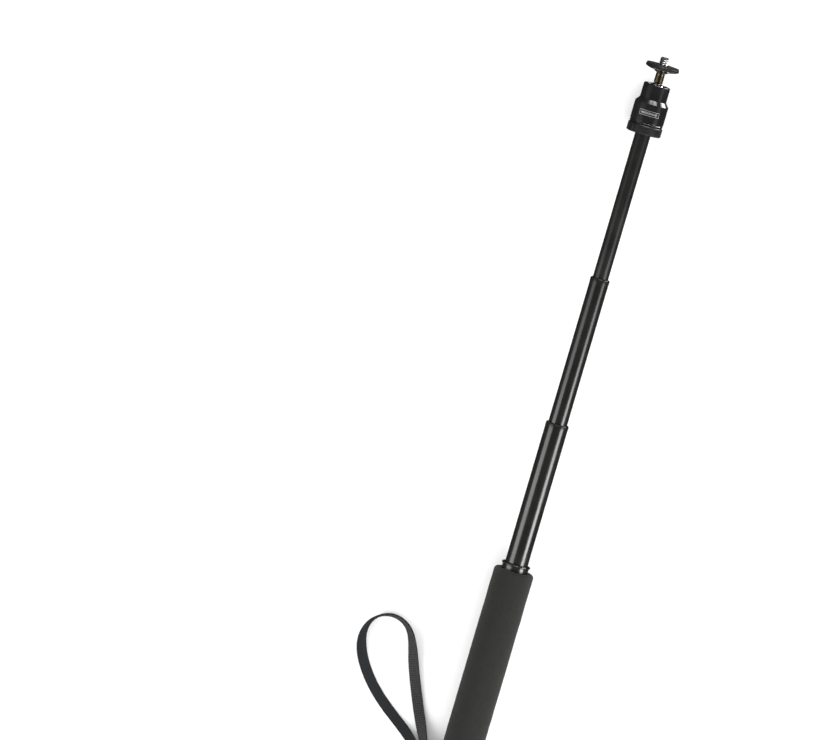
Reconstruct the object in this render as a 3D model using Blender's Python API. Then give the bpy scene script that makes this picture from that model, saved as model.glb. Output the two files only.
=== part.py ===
"""Telescopic hand-held stick for a small camera, with a ball head and a wrist strap.

The stick lies along +X on the plane z = 0, from its end cap to its camera screw, and +Z is up.
The origin is on that plane, under the middle of the stick. Lengths are in metres, and a station
is a distance along the stick from the outer face of the end cap.
"""

import math

import bmesh
import bpy
import numpy as np
from mathutils import Matrix, Vector

MM = 0.001

# Overall layout along the stick
TOTAL_LENGTH = 502.2 * MM
GRIP_RADIUS = 13.35 * MM
ROUND_STEPS = 40
MEDIUM_STEPS = 32
SMALL_STEPS = 24
AXIS_HEIGHT = GRIP_RADIUS * math.cos(math.pi / ROUND_STEPS)
FIT_GAP = 0.3 * MM
SLIP_GAP = 0.15 * MM

# Handle
CAP_LENGTH = 19.0 * MM
CAP_SPIGOT_END = 24.5 * MM
CAP_RADIUS = 13.2 * MM
CAP_BORE_RADIUS = 6.5 * MM
CAP_FLOOR = 2.4 * MM
PORT_STATION = 11.5 * MM
PORT_LENGTH = 11.0 * MM
PORT_HEIGHT = 5.2 * MM
GRIP_TOP = 157.0 * MM
HANDLE_TUBE_END = 153.0 * MM
HANDLE_TUBE_RADIUS = 9.5 * MM
HANDLE_BORE_RADIUS = 8.6 * MM
COLLAR_TOP = 160.6 * MM
COLLAR_RADIUS = 8.75 * MM
COLLAR_LIP_RADIUS = 9.5 * MM

# Telescopic sections: name, outer radius, tube's foot and mouth
TUBE_WALL = 0.7 * MM
MOUTH_LIP = 1.2 * MM
MOUTH_BEAD = 0.1 * MM
SECTIONS = (
    ("lower", 7.5 * MM, 124.0 * MM, 255.9 * MM),
    ("middle", 6.25 * MM, 230.2 * MM, 354.0 * MM),
    ("upper", 5.1 * MM, 337.8 * MM, 456.6 * MM),
)
PLUG_SPIGOT = 4.0 * MM
RING_LENGTH = 5.0 * MM
PLUG_FLANGE = 1.0 * MM
RING_SPLIT_DEG = 30.0

# Ball head
HEAD_BASE = 451.5 * MM
LOCK_RING_TOP = 457.4 * MM
LOCK_RING_RADIUS = 11.35 * MM
BODY_TOP = 471.4 * MM
BODY_RADIUS = 11.0 * MM
SHOULDER_TOP = 474.1 * MM
NECK_TOP = 484.0 * MM
NECK_RADIUS = 8.7 * MM
CORE_RADIUS = 7.6 * MM
CORE_FLANGE_RADIUS = 9.0 * MM
BODY_BORE_RADIUS = 9.3 * MM
CHAMBER_RADIUS = 7.5 * MM
BALL_STATION = 479.4 * MM
BALL_RADIUS = 6.2 * MM
SEAT_RADIUS = BALL_RADIUS + SLIP_GAP
STEM_RADIUS = 2.95 * MM
STEM_TOP = 491.6 * MM
PIN_STATION = 461.0 * MM
PIN_RADIUS = 0.9 * MM
CUP_STEM_RADIUS = 2.0 * MM
BADGE_SIZE = (3.4 * MM, 13.4 * MM)
BADGE_PROUD = 0.25 * MM
BADGE_STATION = 465.6 * MM

# Camera seat
PLATE_BOTTOM = 494.6 * MM
PLATE_TOP = 496.4 * MM
PLATE_RADIUS = 10.95 * MM
PAD_TOP = 497.2 * MM
SCREW_RADIUS = 3.1 * MM
SCREW_BORE_RADIUS = 3.4 * MM
SHANK_RADIUS = 1.9 * MM

# Wrist strap: its middle line as (station, sideways, height), from one end to the other
STRAP_THICKNESS = 1.8 * MM
STRAP_POINT_COUNT = 76
STRAP_ROUTE_MM = (
    (11.5, 2.4, 14.4), (11.6, 8.0, 14.4), (12.6, 13.6, 14.0), (15.4, 18.8, 12.2),
    (19.4, 23.6, 8.9), (24.0, 28.6, 5.0), (29.0, 34.2, 2.2), (35.0, 41.6, 1.1),
    (42.0, 51.6, 1.0), (51.0, 62.6, 1.0), (61.0, 71.8, 1.0), (71.0, 78.4, 1.3),
    (80.0, 82.0, 2.4), (88.6, 83.0, 3.6), (96.8, 80.6, 3.9), (102.6, 74.6, 3.9),
    (104.6, 66.6, 3.9), (102.4, 58.6, 3.9), (96.4, 52.6, 3.8), (88.0, 49.2, 3.0),
    (78.0, 46.0, 1.8), (66.0, 41.4, 1.1), (54.0, 36.4, 1.0), (44.6, 32.2, 1.2),
    (36.6, 28.4, 2.8), (29.6, 24.8, 5.8), (23.6, 21.4, 9.1), (18.4, 17.6, 11.4),
    (14.4, 13.2, 12.2), (12.2, 8.0, 12.3), (11.5, 2.4, 12.3),
)

MATERIALS = {
    "tube_black": ((0.020, 0.020, 0.019), 0.22, 0.6),
    "head_black": ((0.016, 0.016, 0.016), 0.30, 0.5),
    "cap_black": ((0.020, 0.020, 0.021), 0.45, 0.0),
    "collar_black": ((0.012, 0.012, 0.013), 0.15, 0.0),
    "foam": ((0.038, 0.038, 0.036), 0.90, 0.0),
    "strap_weave": ((0.035, 0.038, 0.042), 0.85, 0.0),
    "brass": ((0.48, 0.36, 0.19), 0.30, 1.0),
    "chrome": ((0.80, 0.80, 0.80), 0.10, 1.0),
    "steel": ((0.56, 0.56, 0.57), 0.30, 1.0),
    "nylon": ((0.70, 0.69, 0.64), 0.50, 0.0),
    "rubber": ((0.018, 0.018, 0.018), 0.80, 0.0),
    "badge_silver": ((0.62, 0.62, 0.60), 0.30, 1.0),
}


def clear_scene():
    """Remove every object, so that the script gives the same scene each time."""
    for old in list(bpy.data.objects):
        bpy.data.objects.remove(old, do_unlink=True)


def material(name):
    """Return the named material, made once from its colour, roughness and metallic value."""
    found = bpy.data.materials.get(name)
    if found:
        return found
    colour, roughness, metallic = MATERIALS[name]
    made = bpy.data.materials.new(name)
    made.use_nodes = True
    shader = made.node_tree.nodes["Principled BSDF"]
    shader.inputs["Base Color"].default_value = (*colour, 1.0)
    shader.inputs["Roughness"].default_value = roughness
    shader.inputs["Metallic"].default_value = metallic
    return made


def axis_frame(name, station, parent=None):
    """Add an empty on the stick's axis, which carries the pieces of one moving body."""
    frame = bpy.data.objects.new(name, None)
    frame.empty_display_size = 5 * MM
    bpy.context.collection.objects.link(frame)
    frame["station"] = station
    if parent:
        frame.parent = parent
        frame.location = (station - parent["station"], 0, 0)
    else:
        frame.location = (station - TOTAL_LENGTH / 2, 0, AXIS_HEIGHT)
    return frame


def place(mesh, name, slot, frame, cutter=False):
    """Link a mesh as an object of one body, with its origin at the body's frame."""
    piece = bpy.data.objects.new(name, mesh)
    bpy.context.collection.objects.link(piece)
    piece.parent = frame
    if cutter:
        piece.hide_render = True
        piece.display_type = "WIRE"
    else:
        mesh.materials.append(material(slot))
    return piece


def finish_mesh(bm, name):
    """Turn a bmesh into a mesh, with its faces outwards and its round sides smooth."""
    bmesh.ops.remove_doubles(bm, verts=bm.verts, dist=1e-7)
    bmesh.ops.recalc_face_normals(bm, faces=bm.faces)
    mesh = bpy.data.meshes.new(name)
    bm.to_mesh(mesh)
    bm.free()
    mesh.shade_smooth()
    mesh.set_sharp_from_angle(angle=math.radians(35))
    return mesh


def turned(name, outline, slot, frame, steps=ROUND_STEPS, sweep_deg=360.0, cutter=False):
    """Turn a closed outline of (station, radius) points about the stick's axis.

    The outline starts half a step off the vertical, so that a flat facet lies underneath.
    A sweep under a full turn leaves a split centred on the top, closed by two end faces.
    """
    bm = bmesh.new()
    start = frame["station"]
    first = [bm.verts.new((station - start, 0, -radius)) for station, radius in outline]
    whole = sweep_deg >= 360.0
    lead = math.pi / steps if whole else math.radians((360.0 - sweep_deg) / 2 + 180.0)
    bmesh.ops.rotate(bm, verts=first, cent=(0, 0, 0), matrix=Matrix.Rotation(lead, 3, "X"))
    if whole:
        edges = [bm.edges.new(pair) for pair in zip(first, first[1:] + first[:1])]
        geometry = first + edges
    else:
        geometry = [bm.faces.new(first)]
    bmesh.ops.spin(bm, geom=geometry, cent=(0, 0, 0), axis=(1, 0, 0),
                   angle=math.radians(sweep_deg), steps=steps, use_merge=whole)
    if not whole and len(bm.faces) == len(outline) * steps + 1:
        bm.faces.new(first)
    bmesh.ops.remove_doubles(bm, verts=bm.verts, dist=1e-7)
    loose = [face for face in bm.faces if face.calc_area() < 1e-13]
    bmesh.ops.delete(bm, geom=loose, context="FACES")
    return place(finish_mesh(bm, name), name, slot, frame, cutter)


def block(name, centre, size, slot, frame, bevel=0.0, segments=2, cutter=False):
    """Make a box about a point given as (station, sideways, height from the axis)."""
    bm = bmesh.new()
    bmesh.ops.create_cube(bm, size=1.0)
    bmesh.ops.scale(bm, vec=Vector(size), verts=bm.verts)
    if bevel:
        bmesh.ops.bevel(bm, geom=bm.edges[:], offset=bevel, segments=segments, affect="EDGES")
    place_at = Vector((centre[0] - frame["station"], centre[1], centre[2]))
    bmesh.ops.translate(bm, vec=place_at, verts=bm.verts)
    return place(finish_mesh(bm, name), name, slot, frame, cutter)


def cross_bar(name, station, radius, length, slot, frame, cutter=False):
    """Make a round bar that lies across the stick, along Y."""
    bm = bmesh.new()
    bmesh.ops.create_cone(bm, cap_ends=True, segments=SMALL_STEPS // 2, radius1=radius,
                          radius2=radius, depth=length)
    bmesh.ops.rotate(bm, verts=bm.verts, matrix=Matrix.Rotation(math.pi / 2, 3, "X"))
    bmesh.ops.translate(bm, vec=(station - frame["station"], 0, 0), verts=bm.verts)
    return place(finish_mesh(bm, name), name, slot, frame, cutter)


def cut(piece, cutter):
    """Take a cutter's volume out of a piece."""
    boolean = piece.modifiers.new("cut_" + cutter.name, "BOOLEAN")
    boolean.operation = "DIFFERENCE"
    boolean.solver = "EXACT"
    boolean.object = cutter


def arc(centre, radius, start_deg, end_deg, count):
    """Return points of an arc in the (station, radius) plane, 0 degrees along the stick."""
    angles = [math.radians(a) for a in np.linspace(start_deg, end_deg, count)]
    return [(centre[0] + radius * math.cos(a), centre[1] + radius * math.sin(a)) for a in angles]


def sphere_radius(height, radius):
    """Return the radius of a sphere's section at a height over its centre."""
    return math.sqrt(max(0.0, radius ** 2 - height ** 2))


def ring_outline(start, end, inner, outer, chamfer=0.0):
    """Return a plain ring's outline, with the outer edges chamfered."""
    if not chamfer:
        return [(start, inner), (start, outer), (end, outer), (end, inner)]
    return [
        (start, inner), (start, outer - chamfer), (start + chamfer, outer),
        (end - chamfer, outer), (end, outer - chamfer), (end, inner),
    ]


def make_end_cap(frame):
    """Make the end cap, a moulded plug with a chamber for the strap's ends."""
    corner = 3.0 * MM
    shell = [(0, 0)]
    shell += arc((corner, CAP_RADIUS - corner), corner, 180, 90, 4)
    shell += [
        (CAP_LENGTH, CAP_RADIUS),
        (CAP_LENGTH, HANDLE_BORE_RADIUS - SLIP_GAP),
        (CAP_SPIGOT_END, HANDLE_BORE_RADIUS - SLIP_GAP),
        (CAP_SPIGOT_END, CAP_BORE_RADIUS),
        (CAP_FLOOR, CAP_BORE_RADIUS),
        (CAP_FLOOR, 0),
    ]
    cap = turned("end_cap", shell, "cap_black", frame)
    reach = CAP_RADIUS + 2 * MM
    port = block("strap_port_cutter", (PORT_STATION, reach / 2, 0),
                 (PORT_LENGTH, reach, PORT_HEIGHT), None, frame, cutter=True)
    cut(cap, port)


def make_handle(frame):
    """Make the pieces that the hand holds: tube, foam grip, mouth collar and strap clamp."""
    turned("handle_tube",
           ring_outline(CAP_LENGTH + FIT_GAP, HANDLE_TUBE_END, HANDLE_BORE_RADIUS, HANDLE_TUBE_RADIUS),
           "steel", frame)
    foam_bore = HANDLE_TUBE_RADIUS + 0.2 * MM
    rim_bore = COLLAR_RADIUS + FIT_GAP
    rim_start = HANDLE_TUBE_END + 2.3 * MM
    foot, foot_round, top_round = CAP_LENGTH + FIT_GAP, 1.0 * MM, 2.2 * MM
    foam = [(foot, foam_bore)]
    foam += arc((foot + foot_round, GRIP_RADIUS - foot_round), foot_round, 180, 90, 3)
    foam += arc((GRIP_TOP - top_round, GRIP_RADIUS - top_round), top_round, 90, 0, 4)
    foam += [(GRIP_TOP, rim_bore), (rim_start, rim_bore), (rim_start, foam_bore)]
    turned("foam_grip", foam, "foam", frame)
    lip = 1.0 * MM
    collar_bore = SECTIONS[0][1] + 0.25 * MM
    collar = [
        (HANDLE_TUBE_END - 12 * MM, collar_bore),
        (HANDLE_TUBE_END - 12 * MM, HANDLE_BORE_RADIUS - SLIP_GAP),
        (HANDLE_TUBE_END + FIT_GAP, HANDLE_BORE_RADIUS - SLIP_GAP),
        (HANDLE_TUBE_END + FIT_GAP, HANDLE_TUBE_RADIUS),
        (HANDLE_TUBE_END + 2.0 * MM, HANDLE_TUBE_RADIUS),
        (HANDLE_TUBE_END + 2.0 * MM, COLLAR_RADIUS),
        (COLLAR_TOP - lip - 0.3 * MM, COLLAR_RADIUS),
        (COLLAR_TOP - lip, COLLAR_LIP_RADIUS - 0.1 * MM),
        (COLLAR_TOP - lip / 2, COLLAR_LIP_RADIUS),
        (COLLAR_TOP - 0.1 * MM, COLLAR_LIP_RADIUS - 0.2 * MM),
        (COLLAR_TOP, COLLAR_LIP_RADIUS - 0.6 * MM),
        (COLLAR_TOP, collar_bore),
    ]
    turned("handle_collar", collar, "collar_black", frame)
    block("strap_crimp", (PORT_STATION, 0, 0), (9 * MM, 4 * MM, 7 * MM), "brass", frame,
          bevel=0.6 * MM, segments=1)


def make_section(name, radius, foot, mouth, outer_bore, next_radius, slide_frame, tube_frame):
    """Make one telescopic section: its tube, its foot plug and the split ring that grips.

    The mouth is rolled in around the next section, and the last tube, which has no next
    section, stays straight to fit the head.
    """
    bore = radius - TUBE_WALL
    if next_radius:
        lip = next_radius + 0.2 * MM
        bead = radius + MOUTH_BEAD
        mouth_end = [
            (mouth - 3.0 * MM, radius), (mouth - 2.6 * MM, bead), (mouth - 0.4 * MM, bead),
            (mouth, bead - 0.35 * MM), (mouth, lip), (mouth - MOUTH_LIP, lip),
            (mouth - MOUTH_LIP - 0.3 * MM, bore),
        ]
    else:
        mouth_end = [(mouth, radius), (mouth, bore)]
    turned(name + "_tube", [(foot, bore), (foot, radius)] + mouth_end, "tube_black", tube_frame)

    flange_radius = outer_bore - 0.2 * MM
    waist = bore - 0.5 * MM
    ring_start = foot - FIT_GAP - RING_LENGTH
    plug_start = ring_start - FIT_GAP - PLUG_FLANGE
    plug = [
        (plug_start, 0), (plug_start, flange_radius), (plug_start + PLUG_FLANGE, flange_radius),
        (plug_start + PLUG_FLANGE, waist), (foot, waist),
        (foot, bore - SLIP_GAP), (foot + PLUG_SPIGOT, bore - SLIP_GAP), (foot + PLUG_SPIGOT, 0),
    ]
    turned(name + "_plug", plug, "nylon", tube_frame)
    ring = ring_outline(ring_start, ring_start + RING_LENGTH, waist + SLIP_GAP, outer_bore - SLIP_GAP)
    turned(name + "_friction_ring", ring, "brass", slide_frame, steps=MEDIUM_STEPS,
           sweep_deg=360.0 - RING_SPLIT_DEG)


def make_head_base(frame):
    """Make what joins the head to the upper tube: plug, stud and slotted core."""
    upper_radius, upper_mouth = SECTIONS[-1][1], SECTIONS[-1][3]
    stud_radius, stud_bore = 2.5 * MM, 2.65 * MM
    turned("top_plug",
           ring_outline(upper_mouth - 16 * MM, upper_mouth, stud_bore, upper_radius - TUBE_WALL - SLIP_GAP),
           "nylon", frame, steps=SMALL_STEPS)
    stud_top = 458.5 * MM
    turned("head_stud",
           [(upper_mouth - 12 * MM, 0), (upper_mouth - 12 * MM, stud_radius),
            (stud_top - 0.4 * MM, stud_radius), (stud_top, stud_radius - 0.4 * MM), (stud_top, 0)],
           "steel", frame, steps=SMALL_STEPS)
    socket = upper_radius + SLIP_GAP
    socket_end = upper_mouth + FIT_GAP
    core_foot, foot_lip, foot_radius = HEAD_BASE + FIT_GAP, 1.0 * MM, 8.5 * MM
    flange_start, core_top = 464.2 * MM, 469.2 * MM
    stem_bore = CUP_STEM_RADIUS + FIT_GAP
    core = turned("head_core", [
        (core_foot, socket), (core_foot, foot_radius), (core_foot + foot_lip, foot_radius),
        (core_foot + foot_lip, CORE_RADIUS), (flange_start, CORE_RADIUS),
        (flange_start, CORE_FLANGE_RADIUS), (core_top, CORE_FLANGE_RADIUS),
        (core_top, stem_bore), (stud_top + 0.5 * MM, stem_bore), (stud_top + 0.5 * MM, stud_bore),
        (socket_end, stud_bore), (socket_end, socket),
    ], "steel", frame)
    slot = block("cam_slot_cutter", (PIN_STATION - 0.4 * MM, 0, 0),
                 (3.2 * MM, 3 * CORE_RADIUS, 2.4 * MM), None, frame, cutter=True)
    cut(core, slot)


def make_lock_ring(frame):
    """Make the knurled ring that a hand turns to lock the ball."""
    bore = CORE_RADIUS + FIT_GAP
    sleeve_top, sleeve_radius = 463.9 * MM, 9.0 * MM
    recess_radius, recess_end = 8.8 * MM, HEAD_BASE + 1.6 * MM
    chamfer = 0.5 * MM
    turned("lock_ring", [
        (HEAD_BASE, recess_radius), (HEAD_BASE, LOCK_RING_RADIUS - chamfer),
        (HEAD_BASE + chamfer, LOCK_RING_RADIUS), (LOCK_RING_TOP - chamfer, LOCK_RING_RADIUS),
        (LOCK_RING_TOP, LOCK_RING_RADIUS - chamfer), (LOCK_RING_TOP, sleeve_radius),
        (sleeve_top, sleeve_radius), (sleeve_top, bore), (recess_end, bore),
        (recess_end, recess_radius),
    ], "head_black", frame)


def make_pressure_cup(frame):
    """Make the cup that clamps the ball, and the cross pin that the lock ring drives."""
    top = BALL_STATION - 2.7 * MM
    heights = (2.7, 3.9, 4.9, 5.8)
    seat = [(BALL_STATION - h * MM, sphere_radius(h * MM, SEAT_RADIUS)) for h in heights]
    floor, floor_radius = BALL_STATION - SEAT_RADIUS - SLIP_GAP, 1.6 * MM
    head_foot, stem_foot, rim = 470.4 * MM, 459.4 * MM, 7.1 * MM
    cup = turned("pressure_cup", [
        (stem_foot, 0), (stem_foot, CUP_STEM_RADIUS), (head_foot, CUP_STEM_RADIUS),
        (head_foot, rim), (top, rim),
    ] + seat + [(floor, floor_radius), (floor, 0)], "nylon", frame, steps=MEDIUM_STEPS)
    hole = cross_bar("pin_hole_cutter", PIN_STATION, PIN_RADIUS + SLIP_GAP, 8 * MM, None, frame, cutter=True)
    cut(cup, hole)
    cross_bar("cam_pin", PIN_STATION, PIN_RADIUS, 2 * (CORE_RADIUS + 0.1 * MM), "steel", frame)


def make_housing(frame):
    """Make the head's outer shell, with its shoulder, neck and flared mouth, and its badge."""
    edge = 0.5 * MM
    lip_radius, lip_foot, flare_radius = 5.75 * MM, 482.3 * MM, 7.2 * MM
    chamber_floor = 470.2 * MM
    shell = [
        (LOCK_RING_TOP + FIT_GAP, BODY_BORE_RADIUS), (LOCK_RING_TOP + FIT_GAP, BODY_RADIUS - edge),
        (LOCK_RING_TOP + FIT_GAP + edge, BODY_RADIUS), (BODY_TOP, BODY_RADIUS),
        (SHOULDER_TOP, NECK_RADIUS + 0.1 * MM), (SHOULDER_TOP + 0.4 * MM, NECK_RADIUS),
        (NECK_TOP - 0.9 * MM, NECK_RADIUS), (NECK_TOP - 0.3 * MM, NECK_RADIUS - 0.3 * MM),
        (NECK_TOP, NECK_RADIUS - 0.9 * MM), (NECK_TOP, flare_radius),
        (lip_foot + 0.2 * MM, lip_radius), (lip_foot, lip_radius), (lip_foot, CHAMBER_RADIUS),
        (chamber_floor, CHAMBER_RADIUS), (chamber_floor, BODY_BORE_RADIUS),
    ]
    turned("head_housing", shell, "head_black", frame)
    make_badge(frame)


def make_badge(frame):
    """Make the thin curved plate on the housing's upper side."""
    inner = BODY_RADIUS + 0.05 * MM
    outer = BODY_RADIUS + BADGE_PROUD
    half_angle = BADGE_SIZE[1] / 2 / BODY_RADIUS
    steps = 10
    bm = bmesh.new()
    section = [bm.verts.new((BADGE_STATION - frame["station"] + along, 0, radius))
               for along, radius in ((-BADGE_SIZE[0] / 2, inner), (BADGE_SIZE[0] / 2, inner),
                                     (BADGE_SIZE[0] / 2, outer), (-BADGE_SIZE[0] / 2, outer))]
    face = bm.faces.new(section)
    bmesh.ops.rotate(bm, verts=section, cent=(0, 0, 0), matrix=Matrix.Rotation(-half_angle, 3, "X"))
    copy = bmesh.ops.duplicate(bm, geom=[face])
    bmesh.ops.spin(bm, geom=[g for g in copy["geom"] if isinstance(g, bmesh.types.BMFace)],
                   cent=(0, 0, 0), axis=(1, 0, 0), angle=2 * half_angle, steps=steps)
    place(finish_mesh(bm, "badge_plate"), "badge_plate", "badge_silver", frame)


def make_ball(seat_frame, ball_frame):
    """Make the seat ring, the ball and its stem."""
    heights = (-0.5, 0.6, 1.7, 2.6)
    seat = [(BALL_STATION + h * MM, sphere_radius(h * MM, SEAT_RADIUS)) for h in heights]
    outer = CHAMBER_RADIUS - FIT_GAP
    turned("seat_ring", [(seat[0][0], outer), (seat[-1][0], outer)] + seat[::-1], "nylon", seat_frame)

    flat, hole, hole_floor = 5.6 * MM, 1.7 * MM, 0.6 * MM
    flat_angle = math.degrees(math.acos(flat / BALL_RADIUS))
    rings = arc((BALL_STATION, 0), BALL_RADIUS, 180, flat_angle, 13)
    rings[0] = (BALL_STATION - BALL_RADIUS, 0)
    ball = rings + [(BALL_STATION + flat, hole), (BALL_STATION + hole_floor, hole),
                    (BALL_STATION + hole_floor, 0)]
    turned("ball", ball, "chrome", ball_frame, steps=MEDIUM_STEPS)

    spigot = hole - SLIP_GAP
    stem_foot = BALL_STATION + flat + FIT_GAP
    shank_bore = SHANK_RADIUS + SLIP_GAP
    turned("ball_stem", [
        (BALL_STATION + hole_floor + FIT_GAP, 0), (BALL_STATION + hole_floor + FIT_GAP, spigot),
        (stem_foot, spigot), (stem_foot, STEM_RADIUS), (STEM_TOP, STEM_RADIUS),
        (STEM_TOP, shank_bore), (STEM_TOP - 3 * MM, shank_bore), (STEM_TOP - 3 * MM, 0),
    ], "brass", ball_frame, steps=MEDIUM_STEPS)


def make_camera_seat(frame):
    """Make the stack that the camera screws down on."""
    bore = SHANK_RADIUS + SLIP_GAP
    collar_start = STEM_TOP + FIT_GAP
    collar_top = collar_start + 0.9 * MM
    collar_foot_radius, collar_top_radius = 3.25 * MM, 4.6 * MM
    turned("stem_collar", [
        (collar_start, bore), (collar_start, collar_foot_radius), (collar_top, collar_top_radius),
        (collar_top, bore),
    ], "head_black", frame, steps=MEDIUM_STEPS)
    dish_foot, dish_top = collar_top + FIT_GAP, PLATE_BOTTOM - FIT_GAP
    dish_foot_radius, dish_radius, dish_edge = 4.9 * MM, 9.6 * MM, 0.2 * MM
    turned("dish_washer", [
        (dish_foot, bore), (dish_foot, dish_foot_radius), (dish_top - dish_edge, dish_radius),
        (dish_top, dish_radius), (dish_top, bore),
    ], "chrome", frame)
    turned("camera_plate",
           ring_outline(PLATE_BOTTOM, PLATE_TOP, SCREW_BORE_RADIUS, PLATE_RADIUS, chamfer=0.2 * MM),
           "head_black", frame)
    turned("rubber_pad",
           ring_outline(PLATE_TOP + FIT_GAP, PAD_TOP, SCREW_BORE_RADIUS, PLATE_RADIUS - 0.3 * MM),
           "rubber", frame)
    shank_foot, tip = STEM_TOP - 2.7 * MM, 0.6 * MM
    turned("camera_screw", [
        (shank_foot, 0), (shank_foot, SHANK_RADIUS), (PLATE_BOTTOM, SHANK_RADIUS),
        (PLATE_BOTTOM, SCREW_RADIUS), (TOTAL_LENGTH - tip, SCREW_RADIUS),
        (TOTAL_LENGTH, SCREW_RADIUS - tip), (TOTAL_LENGTH, 0),
    ], "steel", frame, steps=MEDIUM_STEPS)


def smooth_route(points, count):
    """Read evenly spaced points from the cubic B-spline that the given points control."""
    given = np.array(points, dtype=float)
    padded = np.vstack([2 * given[0] - given[1], given, 2 * given[-1] - given[-2]])
    samples_per_span = 24
    dense = []
    for a, b, c, d in zip(padded, padded[1:], padded[2:], padded[3:]):
        for t in np.linspace(0, 1, samples_per_span, endpoint=False):
            dense.append(((1 - t) ** 3 * a + (3 * t ** 3 - 6 * t ** 2 + 4) * b
                          + (1 + 3 * t + 3 * t ** 2 - 3 * t ** 3) * c + t ** 3 * d) / 6)
    dense = np.array(dense + [given[-1]])
    along = np.concatenate([[0], np.cumsum(np.linalg.norm(np.diff(dense, axis=0), axis=1))])
    targets = np.linspace(0, along[-1], count)
    return np.column_stack([np.interp(targets, along, dense[:, axis]) for axis in range(3)])


def make_strap(frame):
    """Make the strap's plain solid, a tube along its middle line from the clamp and back."""
    route = smooth_route(np.array(STRAP_ROUTE_MM) * MM, STRAP_POINT_COUNT)
    curve = bpy.data.curves.new("wrist_strap", "CURVE")
    curve.dimensions = "3D"
    curve.bevel_depth = STRAP_THICKNESS / 2
    curve.bevel_resolution = 2
    curve.use_fill_caps = True
    spline = curve.splines.new("POLY")
    spline.points.add(len(route) - 1)
    for point, (station, sideways, height) in zip(spline.points, route):
        point.co = (station - frame["station"], sideways, height - AXIS_HEIGHT, 1.0)
    curve.materials.append(material("strap_weave"))
    strap = bpy.data.objects.new("wrist_strap", curve)
    bpy.context.collection.objects.link(strap)
    strap.parent = frame


def main():
    """Build the whole stick."""
    clear_scene()
    handle = axis_frame("handle_frame", 0.0)
    make_end_cap(handle)
    make_handle(handle)
    make_strap(handle)
    carrier, outer_bore = handle, HANDLE_BORE_RADIUS
    next_radii = [radius for _, radius, _, _ in SECTIONS[1:]] + [None]
    for (name, radius, foot, mouth), next_radius in zip(SECTIONS, next_radii):
        slide = axis_frame(name + "_slide_frame", foot, carrier)
        carrier = axis_frame(name + "_twist_frame", foot, slide)
        make_section(name, radius, foot, mouth, outer_bore, next_radius, slide, carrier)
        outer_bore = radius - TUBE_WALL
    make_head_base(carrier)
    make_housing(carrier)
    make_lock_ring(axis_frame("lock_ring_frame", HEAD_BASE, carrier))
    make_pressure_cup(axis_frame("pressure_cup_frame", PIN_STATION, carrier))
    pan = axis_frame("ball_pan_frame", BALL_STATION, carrier)
    tilt = axis_frame("ball_tilt_frame", BALL_STATION, pan)
    make_ball(pan, tilt)
    make_camera_seat(axis_frame("camera_turn_frame", STEM_TOP, tilt))


main()
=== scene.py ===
"""Finished looks for a telescopic hand-held stick for a small camera.

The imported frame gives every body's place. This script turns the visible pieces afresh at full
quality, weaves the wrist strap, finishes the inner pieces, and sets up the studio around them.
Lengths are in metres. The stick lies along +X, its axis a little above the floor.
"""

import logging
import math
from dataclasses import dataclass
from enum import Enum
from typing import Callable, Optional

import bmesh
import bpy
import numpy as np
from mathutils import Matrix, Vector


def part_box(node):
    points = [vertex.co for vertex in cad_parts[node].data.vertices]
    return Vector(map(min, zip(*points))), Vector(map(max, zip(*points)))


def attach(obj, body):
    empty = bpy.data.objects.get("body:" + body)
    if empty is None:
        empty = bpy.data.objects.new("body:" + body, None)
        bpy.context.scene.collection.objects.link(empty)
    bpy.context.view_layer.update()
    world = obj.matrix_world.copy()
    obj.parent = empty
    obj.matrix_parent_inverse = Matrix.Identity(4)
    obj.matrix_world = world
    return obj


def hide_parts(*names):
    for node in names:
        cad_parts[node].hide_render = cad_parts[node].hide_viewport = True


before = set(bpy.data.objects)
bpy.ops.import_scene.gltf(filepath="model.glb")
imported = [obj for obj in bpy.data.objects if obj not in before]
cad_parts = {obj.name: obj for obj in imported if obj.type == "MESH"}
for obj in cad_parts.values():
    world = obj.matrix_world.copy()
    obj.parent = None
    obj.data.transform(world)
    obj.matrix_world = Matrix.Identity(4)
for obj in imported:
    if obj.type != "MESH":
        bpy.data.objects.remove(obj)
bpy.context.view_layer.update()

MM = 0.001
MICRON = 0.000001
CAD_STEPS = 40
STRAIGHT_DEG = 12
CORNER_SHARE = 0.42

Outline = list[tuple[float, float]]
Colour = tuple[float, float, float]
Piece = bpy.types.Object
ShaderNode = bpy.types.Node
Socket = bpy.types.NodeSocket

log = logging.getLogger("camera_stick")


# --- Places read from the frame


@dataclass(frozen=True)
class Span:
    """How far a turned piece reaches along the stick, and its outer radius."""

    start: float
    end: float
    radius: float

    @classmethod
    def of(cls, node: str) -> "Span":
        """Read a CAD node's reach and true radius.

        Args:
            node: The CAD node's name.

        Returns:
            Its span, with the facets' flats taken out of the radius.
        """
        low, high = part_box(node)
        return cls(low.x, high.x, (high.z - low.z) / 2 / math.cos(math.pi / CAD_STEPS))

    def up(self, distance_mm: float) -> float:
        """Return the x of a place that many millimetres from the start."""
        return self.start + distance_mm * MM

    def down(self, distance_mm: float) -> float:
        """Return the x of a place that many millimetres short of the end."""
        return self.end - distance_mm * MM


def axis_height() -> float:
    """Return the height of the stick's axis over the floor."""
    low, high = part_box("lower_tube")
    return (low.z + high.z) / 2


AXIS = axis_height()
FOOT = Span.of("end_cap").start


def station(distance_mm: float) -> float:
    """Return the x of a place given in millimetres from the outer face of the end cap."""
    return FOOT + distance_mm * MM


# --- Bench: the modelling moves that the sub-assemblies share


def enter(mode: str) -> None:
    """Put the active object into a mode, "EDIT" or "OBJECT"."""
    bpy.ops.object.mode_set(mode=mode)


def clear_selection() -> None:
    """Leave edit mode and deselect every object."""
    if bpy.context.object and bpy.context.object.mode != "OBJECT":
        enter("OBJECT")
    bpy.ops.object.select_all(action="DESELECT")


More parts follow.
